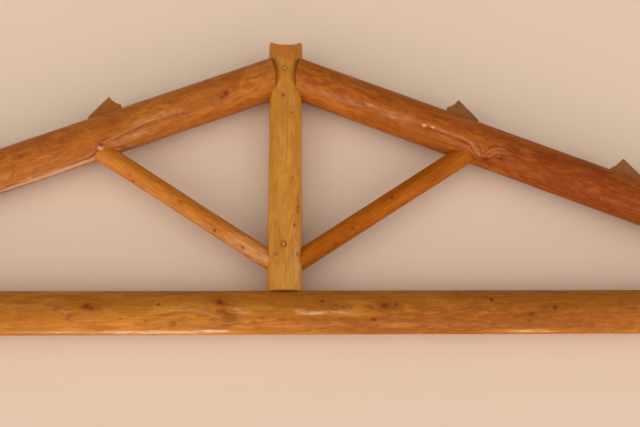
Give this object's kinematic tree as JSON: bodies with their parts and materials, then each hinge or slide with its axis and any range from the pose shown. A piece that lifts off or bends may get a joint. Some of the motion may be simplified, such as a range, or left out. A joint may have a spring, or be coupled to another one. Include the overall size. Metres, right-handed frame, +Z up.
{
  "type": "wooden roof truss",
  "caption": "King post roof truss of peeled, varnished round logs: tie beam, two sloping top chords, king post, two struts and wedge cleats below the purlin seats.",
  "frame": {"origin": "on the floor under the middle of the truss's bounding box, with the truss lying on its back", "axes": "+X along the span to the right as seen from the front, +Y from the tie beam towards the ridge, +Z up from the floor, out of the truss's front face"},
  "size_m": [9.75, 2.3068, 0.3256],
  "materials": {
    "tie_log": "peeled log, clear gloss varnish, honey brown",
    "chord_log": "peeled log, clear gloss varnish, orange brown",
    "post_log": "peeled log, clear gloss varnish, yellow ochre",
    "strut_log": "small peeled log, clear gloss varnish, ochre",
    "cleat_wood": "sawn wedge, clear varnish, reddish brown"
  },
  "bodies": {
    "root": {"tie_beam": "tie_log", "top_chord_left": "chord_log", "top_chord_right": "chord_log", "king_post": "post_log", "strut_left": "strut_log", "strut_right": "strut_log", "purlin_cleat_upper_left": "cleat_wood", "purlin_cleat_upper_right": "cleat_wood", "purlin_cleat_lower_left": "cleat_wood", "purlin_cleat_lower_right": "cleat_wood"}
  },
  "joints": []
}
